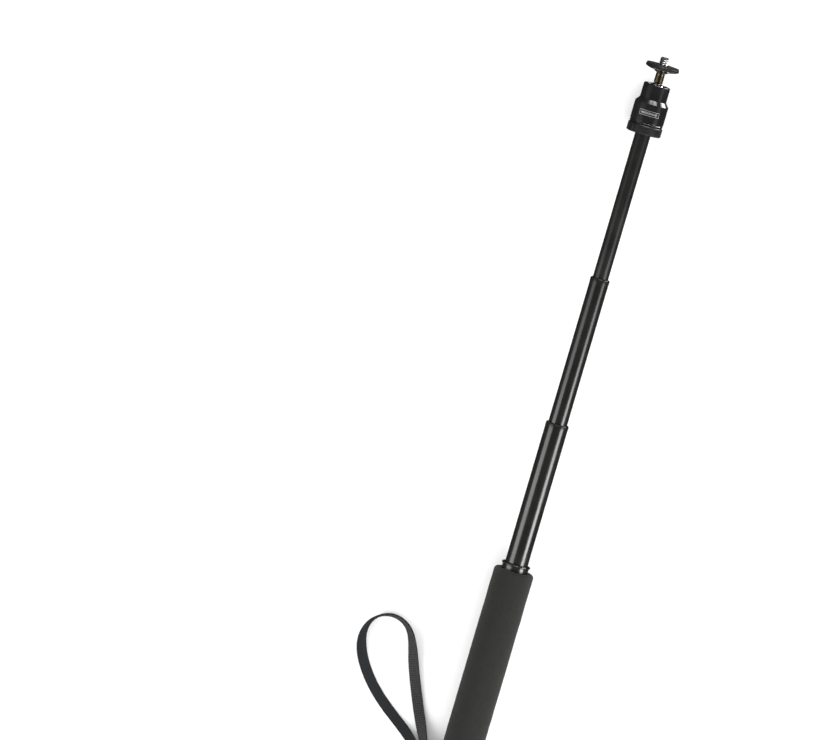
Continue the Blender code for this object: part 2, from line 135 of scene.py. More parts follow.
def pick(piece: Piece) -> None:
    """Make a piece the only selected one, and the active one."""
    clear_selection()
    piece.select_set(True)
    bpy.context.view_layer.objects.active = piece


def apply_modifier(piece: Piece, kind: str, **settings: object) -> None:
    """Put one modifier on a piece and apply it.

    Args:
        piece: The mesh object.
        kind: The modifier's type, such as "BOOLEAN".
        settings: Its settings by name.
    """
    pick(piece)
    modifier = piece.modifiers.new(kind.lower(), kind)
    for name, value in settings.items():
        setattr(modifier, name, value)
    bpy.ops.object.modifier_apply(modifier=modifier.name)


def select_only(piece: Piece, kind: str, wanted: Callable[..., bool]) -> None:
    """Enter edit mode with only the wanted faces or edges selected.

    Args:
        piece: The mesh object.
        kind: "FACE" or "EDGE".
        wanted: Says of a face or an edge whether it is one of them.
    """
    pick(piece)
    enter("EDIT")
    bpy.ops.mesh.select_mode(type=kind)
    bpy.ops.mesh.select_all(action="DESELECT")
    enter("OBJECT")
    for part in piece.data.polygons if kind == "FACE" else piece.data.edges:
        part.select = wanted(part)
    enter("EDIT")


def settle(piece: Piece, sharp_deg: float = 35.0) -> Piece:
    """Close a piece's modelling: place in its mesh, faces outwards, round sides smooth.

    Args:
        piece: The mesh object.
        sharp_deg: Edges that turn more than this stay sharp.

    Returns:
        The same piece.
    """
    pick(piece)
    enter("EDIT")
    bpy.ops.mesh.select_all(action="SELECT")
    bpy.ops.mesh.normals_make_consistent(inside=False)
    enter("OBJECT")
    bpy.ops.object.transform_apply(location=True, rotation=True, scale=True)
    bpy.ops.object.shade_smooth_by_angle(angle=math.radians(sharp_deg))
    clear_selection()
    return piece


def radius_of(point: Vector) -> float:
    """Return a point's distance from the stick's axis."""
    return math.hypot(point.y, point.z - AXIS)


def facing(right: Vector, up: Vector, back: Vector) -> Matrix:
    """Return the turn whose columns are a camera's or a light's right, up and back."""
    return Matrix((right, up, back)).transposed()


def soften(outline: Outline, radius: float, steps: int = 3) -> Outline:
    """Round each corner of a closed outline, as far as its neighbours leave room.

    Args:
        outline: Corners as (x, radius); a corner on the axis stays as it is.
        radius: The most that is taken off along each side of a corner.
        steps: How many flats a round corner gets.

    Returns:
        The outline with its corners rounded.
    """
    nearly_straight = math.cos(math.radians(STRAIGHT_DEG))
    rounded: Outline = []
    for index, corner in enumerate(outline):
        here = Vector(corner)
        back = Vector(outline[index - 1]) - here
        ahead = Vector(outline[(index + 1) % len(outline)]) - here
        turn = -back.normalized().dot(ahead.normalized())
        if corner[1] <= 0 or turn > nearly_straight:
            rounded.append(corner)
            continue
        reach = min(radius, CORNER_SHARE * back.length, CORNER_SHARE * ahead.length)
        first, last = here + back.normalized() * reach, here + ahead.normalized() * reach
        for t in np.linspace(0, 1, steps + 1):
            point = first * (1 - t) ** 2 + here * (2 * t * (1 - t)) + last * t ** 2
            rounded.append((point.x, point.y))
    return rounded


def curve(centre: tuple[float, float], radius: float, start_deg: float, end_deg: float,
          count: int) -> Outline:
    """Return points of an arc in the (x, radius) plane, with 0 degrees along the stick.

    Args:
        centre: The arc's centre.
        radius: Its radius.
        start_deg: Where it starts.
        end_deg: Where it ends.
        count: How many points it has.

    Returns:
        The points in order.
    """
    angles = np.radians(np.linspace(start_deg, end_deg, count))
    return [(centre[0] + radius * math.cos(a), centre[1] + radius * math.sin(a)) for a in angles]


def along(start: float, end: float, radius: float, spacing: float) -> Outline:
    """Return evenly spaced points along a straight side, its ends included."""
    count = max(2, round(abs(end - start) / spacing) + 1)
    return [(float(x), radius) for x in np.linspace(start, end, count)]


@dataclass
class Turning:
    """A round piece, drawn out ring by ring along the stick from one circle.

    The outline is a closed loop of (x, radius). One that touches the axis makes a solid piece,
    and one that doesn't makes a ring or a tube.
    """

    name: str
    outline: Outline
    segments: int = 128
    edge: float = 0.2 * MM
    sharp_deg: float = 35.0

    def build(self) -> Piece:
        """Model the piece.

        Returns:
            The finished mesh object, closed and at the origin.
        """
        rings = [point for point in soften(self.outline, self.edge) if point[1] > 0]
        solid = any(radius <= 0 for _, radius in self.outline)
        if solid:
            first_on_axis = next(i for i, (_, radius) in enumerate(self.outline) if radius <= 0)
            if first_on_axis not in (0, len(self.outline) - 1):
                raise ValueError(f"{self.name}: a solid outline starts and ends on the axis")
        x, radius = rings[0]
        clear_selection()
        bpy.ops.mesh.primitive_circle_add(
            vertices=self.segments, radius=radius, fill_type="NOTHING",
            location=(x, 0, AXIS), rotation=(0, math.pi / 2, 0))
        piece = bpy.context.object
        piece.name = piece.data.name = self.name
        bpy.ops.object.transform_apply(location=True, rotation=True, scale=True)
        enter("EDIT")
        bpy.ops.mesh.select_mode(type="EDGE")
        bpy.ops.mesh.select_all(action="SELECT")
        for next_x, next_radius in rings[1:] if solid else rings[1:] + rings[:1]:
            bpy.ops.mesh.extrude_edges_move(
                TRANSFORM_OT_translate={"value": (next_x - x, 0, 0), "orient_type": "GLOBAL"})
            scale = next_radius / radius
            if abs(scale - 1) > 1e-7:
                bpy.ops.transform.resize(value=(1, scale, scale), orient_type="GLOBAL",
                                         center_override=(next_x, 0, AXIS))
            x, radius = next_x, next_radius
        if solid:
            bpy.ops.mesh.select_all(action="DESELECT")
            bpy.ops.mesh.select_non_manifold()
            bpy.ops.mesh.fill_holes(sides=0)
        bpy.ops.mesh.select_all(action="SELECT")
        bpy.ops.mesh.remove_doubles(threshold=3 * MICRON)
        enter("OBJECT")
        return settle(piece, self.sharp_deg)


def flute(piece: Piece, start: float, end: float, radius: float, rim: float,
          depth: float) -> None:
    """Cut one straight flute into each face of a round band.

    Args:
        piece: The turned piece.
        start: The band's lower x.
        end: The band's upper x.
        radius: The least radius of a face that counts as the band.
        rim: The land left around each flute.
        depth: How deep a flute is.
    """
    select_only(piece, "FACE", lambda face: start < face.center.x < end
                and radius_of(face.center) > radius and abs(face.normal.x) < 0.2)
    bpy.ops.mesh.inset(thickness=rim, depth=-depth, use_individual=True)
    enter("OBJECT")
    settle(piece, 25.0)


def fit(piece: Piece, body: str, slot: str, finish: Optional["Finish"],
        *nodes: str) -> None:
    """Give a new piece its finish and its body, and hide the CAD nodes that it stands for.

    Args:
        piece: The mesh object.
        body: The CAD body that it moves with.
        slot: The record's material slot; not used.
        finish: Its finish, or None if its materials are on it already.
        nodes: The CAD nodes that it replaces.
    """
    if finish:
        piece.data.materials.clear()
        piece.data.materials.append(finish.material())
    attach(piece, body)
    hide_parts(*nodes)
    log.info("%s: %d faces, rides %s, finish %s", piece.name, len(piece.data.polygons), body,
             piece.data.materials[0].name)


# --- Finishes


class Relief(Enum):
    """How a finish's fine relief runs over a surface."""

    GRAIN = "moulded grain"
    CELLS = "foam cells"
    DRAWN = "lines drawn along the stick"
    TURNED = "lines turned about the stick"
    WEAVE = "woven threads"


class NodeBench:
    """Adds shader nodes to one tree, and joins them."""

    def __init__(self, tree: bpy.types.NodeTree) -> None:
        """Keep the tree that the nodes go into."""
        self.tree = tree

    def add(self, kind: str, inputs: Optional[dict] = None, **settings: object) -> ShaderNode:
        """Add a node.

        Args:
            kind: The node's type, without its "ShaderNode" prefix.
            inputs: Values or sockets for its inputs, by name or number.
            settings: The node's own settings.

        Returns:
            The node.
        """
        node = self.tree.nodes.new("ShaderNode" + kind)
        for name, value in settings.items():
            setattr(node, name, value)
        for key, value in (inputs or {}).items():
            if isinstance(value, Socket):
                self.tree.links.new(value, node.inputs[key])
            else:
                node.inputs[key].default_value = value
        return node

    def maths(self, operation: str, first: object, second: object = 0.0) -> Socket:
        """Work out one number from two, with a Math node."""
        return self.add("Math", {0: first, 1: second}, operation=operation).outputs[0]

    def times(self, first: object, second: object) -> Socket:
        """Multiply two numbers."""
        return self.maths("MULTIPLY", first, second)

    def plus(self, first: object, second: object) -> Socket:
        """Add two numbers."""
        return self.maths("ADD", first, second)

    def position(self) -> Socket:
        """Return the place on the piece, in its own object coordinates."""
        return self.add("TexCoord").outputs["Object"]

    def noise(self, place: object, scale: object, detail: float,
              **more: float) -> Socket:
        """Return the value of a noise texture."""
        inputs = {"Vector": place, "Scale": scale, "Detail": detail, **more}
        return self.add("TexNoise", inputs).outputs[0]

    def spread(self, value: object, low: float, high: float, out_low: float,
               out_high: float) -> Socket:
        """Map a value's range onto another, without going past its ends."""
        node = self.add("MapRange", {"Value": value, "From Min": low, "From Max": high,
                                     "To Min": out_low, "To Max": out_high})
        return node.outputs["Result"]

    def blend(self, factor: object, first: object, second: object) -> Socket:
        """Mix two colours."""
        node = self.add("Mix", data_type="RGBA")
        sockets = [s for s in node.inputs if s.type == "RGBA"]
        for socket, value in zip([node.inputs[0]] + sockets, (factor, first, second)):
            if isinstance(value, Socket):
                self.tree.links.new(value, socket)
            elif isinstance(value, tuple):
                socket.default_value = (*value, 1.0)
            else:
                socket.default_value = value
        return next(s for s in node.outputs if s.type == "RGBA")


@dataclass(frozen=True)
class EffectGroup:
    """A shader node group that several finishes share, made once."""

    name: str
    inputs: tuple[tuple[str, float], ...]
    outputs: tuple[str, ...]
    wire: Callable[[NodeBench, ShaderNode], dict]

    def tree(self) -> bpy.types.NodeTree:
        """Return the group's node tree, made on first use."""
        found = bpy.data.node_groups.get(self.name)
        if found:
            return found
        tree = bpy.data.node_groups.new(self.name, "ShaderNodeTree")
        for name, value in self.inputs:
            socket = tree.interface.new_socket(name=name, in_out="INPUT",
                                               socket_type="NodeSocketFloat")
            socket.default_value = value
        for name in self.outputs:
            tree.interface.new_socket(name=name, in_out="OUTPUT", socket_type="NodeSocketFloat")
        entry, leave = tree.nodes.new("NodeGroupInput"), tree.nodes.new("NodeGroupOutput")
        for name, socket in self.wire(NodeBench(tree), entry).items():
            tree.links.new(socket, leave.inputs[name])
        return tree

    def place(self, bench: NodeBench, **values: float) -> ShaderNode:
        """Add the group to a material.

        Args:
            bench: The material's bench.
            values: The group's inputs by name.

        Returns:
            The group node.
        """
        node = bench.add("Group")
        node.node_tree = self.tree()
        for name, value in values.items():
            node.inputs[name].default_value = value
        return node


def wire_grain(bench: NodeBench, entry: ShaderNode) -> dict:
    """Wire a fine moulded grain with a slow change of tone under it."""
    place = bench.position()
    return {"Height": bench.noise(place, entry.outputs["Scale"], 4.0, Roughness=0.65),
            "Tone": bench.noise(place, 90.0, 3.0)}


def wire_cells(bench: NodeBench, entry: ShaderNode) -> dict:
    """Wire cut foam: small round cells, with larger open pores between them."""
    place = bench.position()
    warp = bench.noise(place, 420.0, 2.0)
    cells = bench.add("TexVoronoi", {"Vector": place, "Scale": entry.outputs["Scale"]})
    pores = bench.noise(place, 1900.0, 4.0, Roughness=0.75)
    # The pores sink the surface and darken its colour together, so the pits carry painted shade; the
    # slow warp adds uneven tone of its own.
    return {"Height": bench.plus(bench.times(cells.outputs["Distance"], 0.55),
                                 bench.times(pores, 0.6)),
            "Tone": bench.plus(bench.times(warp, 0.15), bench.times(pores, 0.85))}


def wire_lines(stretch: tuple[float, float, float]) -> Callable[[NodeBench, ShaderNode], dict]:
    """Return the wiring of fine tool lines, drawn out along the axes that are scaled down."""
    def wire(bench: NodeBench, entry: ShaderNode) -> dict:
        """Wire noise that is stretched one way."""
        place = bench.position()
        drawn = bench.add("Mapping", {"Vector": place, "Scale": stretch}).outputs[0]
        return {"Height": bench.noise(drawn, entry.outputs["Scale"], 3.0, Roughness=0.6),
                "Tone": bench.noise(place, 60.0, 4.0)}
    return wire


def wire_weave(bench: NodeBench, entry: ShaderNode) -> dict:
    """Wire a plain weave on the piece's own UV map, whose unit is one metre."""
    uv = bench.add("UVMap").outputs[0]
    split = bench.add("SeparateXYZ", {0: uv})
    across = bench.times(split.outputs[0], entry.outputs["Scale"])
    lengthwise = bench.times(split.outputs[1], bench.times(entry.outputs["Scale"], 0.8))
    weft, warp = (bench.maths("ABSOLUTE", bench.maths("SINE", bench.times(position, math.pi)))
                  for position in (across, lengthwise))
    cell = bench.plus(bench.maths("FLOOR", across), bench.maths("FLOOR", lengthwise))
    over = bench.maths("FLOORED_MODULO", cell, 2.0)
    under = bench.maths("SUBTRACT", 1.0, over)
    height = bench.plus(bench.times(weft, over), bench.times(warp, under))
    fuzz = bench.times(bench.noise(uv, 1400.0, 4.0), 0.5)
    # The colour follows the threads' height, so where a thread dips under its neighbour the band is
    # painted darker: painted shade between the threads.
    return {"Height": bench.plus(height, fuzz), "Tone": bench.plus(bench.times(height, 0.5), fuzz)}


def wire_edge_wear(bench: NodeBench, entry: ShaderNode) -> dict:
    """Wire a mask of outer edges, broken up so that the wear isn't even."""
    edge = bench.spread(bench.add("NewGeometry").outputs["Pointiness"], 0.53, 0.62, 0.0, 1.0)
    broken = bench.spread(bench.noise(bench.position(), 350.0, 4.0), 0.42, 0.62, 0.0, 1.0)
    return {"Mask": bench.times(bench.times(edge, broken), entry.outputs["Amount"])}


def wire_handling(bench: NodeBench, entry: ShaderNode) -> dict:
    """Wire a mask of smudges and settled dust from handling."""
    place = bench.position()
    film = bench.spread(bench.noise(place, 45.0, 5.0, Distortion=0.6), 0.45, 0.7, 0.0, 0.7)
    dust = bench.spread(bench.noise(place, 2600.0, 1.0), 0.71, 0.76, 0.0, 1.0)
    return {"Mask": bench.times(bench.maths("MAXIMUM", film, dust), entry.outputs["Amount"])}


RELIEFS = {
    relief: EffectGroup(name, (("Scale", 1500.0),), ("Height", "Tone"), wiring)
    for relief, name, wiring in (
        (Relief.GRAIN, "moulded_grain", wire_grain), (Relief.CELLS, "foam_cells_with_painted_shade", wire_cells),
        (Relief.DRAWN, "drawn_lines", wire_lines((0.012, 1.0, 1.0))),
        (Relief.TURNED, "turned_lines", wire_lines((1.0, 0.02, 0.02))),
        (Relief.WEAVE, "plain_weave_with_painted_shade", wire_weave))
}
EDGE_WEAR = EffectGroup("edge_wear", (("Amount", 1.0),), ("Mask",), wire_edge_wear)
HANDLING = EffectGroup("handling_marks", (("Amount", 1.0),), ("Mask",), wire_handling)
TONE_RANGE = (0.3, 0.7)
MARK_ROUGHNESS = 0.22


@dataclass(frozen=True)
class Finish:
    """A surface's look: its colours, its gloss, its fine relief and its wear."""

    name: str
    dark: Colour
    light: Colour
    rough: tuple[float, float]
    relief: Relief
    scale: float
    depth_mm: float
    metallic: float = 0.0
    coat: float = 0.0
    coat_rough: float = 0.1
    sheen: float = 0.0
    specular: float = 0.5
    worn: Colour = (0.10, 0.10, 0.10)
    wear: float = 0.0
    marks: float = 0.0
    bump: float = 1.0

    def material(self) -> bpy.types.Material:
        """Return this finish's material, made on first use."""
        found = bpy.data.materials.get(self.name)
        if found:
            return found
        made = bpy.data.materials.new(self.name)
        made.use_nodes = True
        shader = made.node_tree.nodes["Principled BSDF"]
        for name, value in (("Metallic", self.metallic), ("Coat Weight", self.coat),
                            ("Coat Roughness", self.coat_rough), ("Sheen Weight", self.sheen),
                            ("Specular IOR Level", self.specular)):
            shader.inputs[name].default_value = value
        self.wire(NodeBench(made.node_tree), shader)
        return made

    def wire(self, bench: NodeBench, shader: ShaderNode) -> None:
        """Wire the relief, the tone, the wear and the marks into the shader."""
        relief = RELIEFS[self.relief].place(bench, Scale=self.scale)
        # For the foam cells and the weave the tone follows the relief's height, so their hollows come
        # out darker as painted shade.
        tone = bench.spread(relief.outputs["Tone"], *TONE_RANGE, 0.0, 1.0)
        colour = bench.blend(tone, self.dark, self.light)
        rough = bench.spread(relief.outputs["Tone"], *TONE_RANGE, *self.rough)
        if self.wear:
            wear = EDGE_WEAR.place(bench, Amount=self.wear).outputs["Mask"]
            colour = bench.blend(wear, colour, self.worn)
        if self.marks:
            mark = HANDLING.place(bench, Amount=self.marks).outputs["Mask"]
            rough = bench.plus(rough, bench.times(mark, MARK_ROUGHNESS))
        bump = bench.add("Bump", {"Height": relief.outputs["Height"], "Strength": self.bump,
                                  "Distance": self.depth_mm * MM})
        bench.tree.links.new(colour, shader.inputs["Base Color"])
        bench.tree.links.new(rough, shader.inputs["Roughness"])
        bench.tree.links.new(bump.outputs[0], shader.inputs["Normal"])


SATIN_TUBE = Finish("satin_anodised_tube", (0.008, 0.008, 0.0075), (0.012, 0.012, 0.011),
                    (0.26, 0.32), Relief.DRAWN, 5200.0, 0.005, worn=(0.08, 0.08, 0.075), wear=0.4,
                    marks=0.2)
GLOSS_TUBE = Finish("bright_anodised_tube", (0.008, 0.008, 0.0075), (0.012, 0.012, 0.011),
                    (0.19, 0.24), Relief.DRAWN, 5200.0, 0.004, worn=(0.08, 0.08, 0.075), wear=0.4,
                    marks=0.2)
HEAD_BLACK = Finish("satin_head_black", (0.007, 0.007, 0.0075), (0.011, 0.011, 0.0115),
                    (0.17, 0.23), Relief.GRAIN, 3800.0, 0.005, worn=(0.10, 0.10, 0.10), wear=0.4,
                    marks=0.25)
KNURL_BLACK = Finish("knurled_ring_black", (0.0055, 0.0055, 0.0055), (0.0105, 0.0105, 0.010),
                     (0.34, 0.44), Relief.TURNED, 2400.0, 0.010, worn=(0.11, 0.11, 0.105),
                     wear=0.6, marks=0.3)
COLLAR_GLOSS = Finish("moulded_collar_gloss", (0.010, 0.010, 0.010), (0.016, 0.016, 0.016),
                      (0.20, 0.27), Relief.GRAIN, 700.0, 0.010, coat=0.25, coat_rough=0.08,
                      marks=0.4)
CAP_PLASTIC = Finish("spark_grained_cap", (0.010, 0.010, 0.0105), (0.018, 0.018, 0.0185),
                     (0.48, 0.62), Relief.GRAIN, 2200.0, 0.05, worn=(0.07, 0.07, 0.07), wear=0.6,
                     marks=0.3)
# The foam's colour is darker in its sunk pores: painted shade, on top of uneven tone from the slow warp.
GRIP_FOAM = Finish("closed_cell_foam", (0.0080, 0.0080, 0.0072), (0.0190, 0.0190, 0.0174),
                   (0.88, 0.98), Relief.CELLS, 3000.0, 0.12, sheen=0.06, specular=0.2)
# Both strap finishes take their tone from the weave's height, so the dips between the threads carry
# painted shade.
STRAP_WEAVE = Finish("woven_band", (0.0045, 0.0052, 0.0058), (0.0155, 0.0177, 0.0195),
                     (0.78, 0.92), Relief.WEAVE, 1500.0, 0.14, sheen=0.02, specular=0.2)
STRAP_LINING = Finish("strap_open_lining", (0.0015, 0.0017, 0.0018), (0.044, 0.045, 0.045),
                      (0.74, 0.92), Relief.WEAVE, 800.0, 0.25, specular=0.2)
STEM_BRASS = Finish("turned_brass", (0.25, 0.20, 0.12), (0.38, 0.31, 0.195), (0.22, 0.34),
                    Relief.TURNED, 3600.0, 0.010, metallic=1.0, marks=0.3)
CLAMP_BRASS = Finish("pressed_brass", (0.33, 0.25, 0.13), (0.48, 0.37, 0.20), (0.30, 0.45),
                     Relief.GRAIN, 900.0, 0.02, metallic=1.0, marks=0.5)
BALL_CHROME = Finish("polished_chrome", (0.70, 0.70, 0.71), (0.82, 0.82, 0.82), (0.14, 0.20),
                     Relief.TURNED, 1800.0, 0.002, metallic=1.0, marks=0.2)
DISH_CHROME = Finish("turned_dish_nickel", (0.56, 0.53, 0.46), (0.70, 0.67, 0.60), (0.14, 0.22),
                     Relief.TURNED, 2600.0, 0.006, metallic=1.0, marks=0.3)
SCREW_STEEL = Finish("plated_screw_steel", (0.42, 0.42, 0.43), (0.58, 0.58, 0.58), (0.22, 0.34),
                     Relief.TURNED, 2600.0, 0.008, metallic=1.0, worn=(0.75, 0.75, 0.74),
                     wear=0.5, marks=0.4)
RAW_ALUMINIUM = Finish("mill_aluminium", (0.52, 0.52, 0.53), (0.66, 0.66, 0.66), (0.30, 0.42),
                       Relief.DRAWN, 3600.0, 0.010, metallic=1.0, marks=0.4)
NYLON = Finish("natural_nylon", (0.52, 0.505, 0.455), (0.64, 0.625, 0.57), (0.42, 0.55),
               Relief.GRAIN, 1200.0, 0.02, marks=0.3)
PAD_RUBBER = Finish("ribbed_rubber", (0.011, 0.011, 0.011), (0.022, 0.022, 0.021), (0.68, 0.84),
                    Relief.GRAIN, 2600.0, 0.03, specular=0.35, marks=0.4)
BADGE_SILVER = Finish("etched_silver", (0.60, 0.60, 0.59), (0.78, 0.78, 0.77), (0.28, 0.40),
                      Relief.GRAIN, 2400.0, 0.006, metallic=0.75, marks=0.2)


# --- Camera and wrist strap


@dataclass(frozen=True)
class Viewpoint:
    """The camera: where it looks from, how far it leans, and how it is rolled."""

    aim_station: float = 264.33
    aim_side: float = 94.9 * MM
    distance: float = 4.2
    lean_deg: float = 7.3
    roll_deg: float = 16.24
    lens: float = 279.15

    def build(self) -> Piece:
        """Add the camera, looking down on the stick from a little past its head.

        Returns:
            The camera object.
        """
        lean, roll = math.radians(self.lean_deg), math.radians(self.roll_deg)
        look = Vector((-math.sin(lean), 0, -math.cos(lean)))
        aim = Vector((station(self.aim_station), self.aim_side, AXIS))
        clear_selection()
        bpy.ops.object.camera_add(location=aim - look * self.distance)
        camera = bpy.context.object
        camera.name = "studio_camera"
        upright = Vector((math.cos(lean), 0, -math.sin(lean)))
        side = look.cross(upright)
        up = upright * math.cos(roll) - side * math.sin(roll)
        right = look.cross(up)
        camera.rotation_euler = facing(right, up, -look).to_euler()
        camera.data.lens = self.lens
        camera.data.sensor_width = 36.0
        camera.data.clip_start, camera.data.clip_end = 0.05, 60.0
        bpy.context.scene.camera = camera
        return camera


@dataclass
class WristStrap:
    """The woven strap: a flat band that leaves the end cap's port and comes back into it."""

    width: float = 7.0 * MM
    thickness: float = 1.8 * MM
    samples: int = 300
    spans_between: int = 24
    half_steps: int = 11
    ribs: int = 4
    # The middle line's control points: millimetres from the end cap's face, to the side, and up.
    # The last number is the band's bank: 0 lies with its outer face up, 180 with its lining up.
    route: tuple[tuple[float, float, float, float], ...] = (
        (11.5, 2.4, 14.4, 0), (11.6, 8.0, 14.4, 5), (12.6, 13.6, 14.0, 45), (15.4, 18.8, 12.2, 76),
        (19.4, 23.6, 8.9, 66), (24.0, 28.6, 5.0, 40), (29.0, 34.2, 2.2, 12), (35.0, 41.6, 1.1, 1),
        (42.0, 51.6, 1.0, 0), (51.0, 62.6, 1.0, 0), (61.0, 71.8, 1.0, 0), (71.0, 78.4, 1.3, 3),
        (80.0, 82.0, 2.4, 22), (88.6, 83.0, 3.6, 55), (96.8, 80.6, 3.9, 85), (102.6, 74.6, 3.9, 102),
        (104.6, 66.6, 3.9, 111), (102.4, 58.6, 3.9, 116), (96.4, 52.6, 3.8, 123), (88.0, 49.2, 3.0, 142),
        (78.0, 46.0, 1.8, 166), (66.0, 41.4, 1.1, 178), (54.0, 36.4, 1.0, 180), (44.6, 32.2, 1.2, 178),
        (36.6, 28.4, 2.8, 160), (29.6, 24.8, 5.8, 136), (23.6, 21.4, 9.1, 113), (18.4, 17.6, 11.4, 104),
        (14.4, 13.2, 12.2, 134), (12.2, 8.0, 12.3, 175), (11.5, 2.4, 12.3, 180),
    )

    def middle_line(self) -> np.ndarray:
        """Read evenly spaced places from the smooth curve that the route controls.

        Returns:
            Rows of x, y, z in metres and the bank in degrees.
        """
        given = np.array(self.route, dtype=float)
        given[:, :3] *= MM
        given[:, 0] += FOOT
        padded = np.vstack([2 * given[0] - given[1], given, 2 * given[-1] - given[-2]])
        dense = []
        for a, b, c, d in zip(padded, padded[1:], padded[2:], padded[3:]):
            for t in np.linspace(0, 1, self.spans_between, endpoint=False):
                dense.append(((1 - t) ** 3 * a + (3 * t ** 3 - 6 * t ** 2 + 4) * b
                              + (1 + 3 * t + 3 * t ** 2 - 3 * t ** 3) * c + t ** 3 * d) / 6)
        rows = np.array(dense + [given[-1]])
        steps = np.linalg.norm(np.diff(rows[:, :3], axis=0), axis=1)
        lengths = np.concatenate([[0], np.cumsum(steps)])
        even = np.linspace(0, lengths[-1], self.samples)
        return np.column_stack([np.interp(even, lengths, rows[:, k]) for k in range(4)])

    def section(self) -> list[tuple[float, float]]:
        """Return the band's section as (across, out) points: full selvedges, thinner between."""
        half_width, half_thickness = self.width / 2, self.thickness / 2
        upper = []
        for k in range(-self.half_steps, self.half_steps + 1):
            share = math.sin(math.pi / 2 * k / self.half_steps)
            selvedge = math.exp(-((abs(share) - 0.86) / 0.10) ** 2)
            rib = math.cos(2 * math.pi * self.ribs * share) * (1 - selvedge)
            body = 0.80 + 0.20 * selvedge + 0.05 * rib
            upper.append((half_width * share,
                          half_thickness * body * (1 - abs(share) ** 7) ** 0.5))
        return upper + [(across, -out) for across, out in upper[-2:0:-1]]

    def build(self) -> Piece:
        """Weave the band along its route.

        Returns:
            The band, whose UV map holds metres across and along it.
        """
        rows = self.middle_line()
        section = self.section()
        mesh_work = bmesh.new()
        uv_layer = mesh_work.loops.layers.uv.new("band")
        loops = []
        for index, row in enumerate(rows):
            ahead, behind = rows[min(index + 1, len(rows) - 1)], rows[max(index - 1, 0)]
            tangent = Vector(ahead[:3] - behind[:3]).normalized()
            left = Vector((0, 0, 1)).cross(tangent).normalized()
            up = tangent.cross(left)
            bank = math.radians(row[3])
            out = up * math.cos(bank) + left * math.sin(bank)
            across = out.cross(tangent)
            middle = Vector(row[:3])
            loops.append([mesh_work.verts.new(middle + across * a + out * o) for a, o in section])
        step = float(np.linalg.norm(rows[1, :3] - rows[0, :3]))
        count = len(section)
        for index, (first, second) in enumerate(zip(loops, loops[1:])):
            for k in range(count):
                n = (k + 1) % count
                face = mesh_work.faces.new((first[k], second[k], second[n], first[n]))
                for loop, (place, rung) in zip(face.loops, ((k, 0), (k, 1), (n, 1), (n, 0))):
                    loop[uv_layer].uv = (section[place][0] + self.width / 2, (index + rung) * step)
        mesh_work.faces.new(loops[0])
        mesh_work.faces.new(loops[-1][::-1])
        bmesh.ops.recalc_face_normals(mesh_work, faces=mesh_work.faces)
        mesh = bpy.data.meshes.new("woven_strap")
        mesh_work.to_mesh(mesh)
        mesh_work.free()
        strap = bpy.data.objects.new("woven_strap", mesh)
        bpy.context.scene.collection.objects.link(strap)
        pick(strap)
        bpy.ops.object.shade_smooth_by_angle(angle=math.radians(50))
        clear_selection()
        return strap

    def dress(self) -> None:
        strap = self.build()
        fit(strap, "handle", "strap_weave", STRAP_WEAVE, "wrist_strap")
        strap.data.materials.append(STRAP_LINING.material())
        around, upper = len(self.section()), 2 * self.half_steps
        for face in strap.data.polygons[:around * (self.samples - 1)]:
            face.material_index = int(face.index % around >= upper)
        path = self.middle_line()[:, :3]


# --- Handle


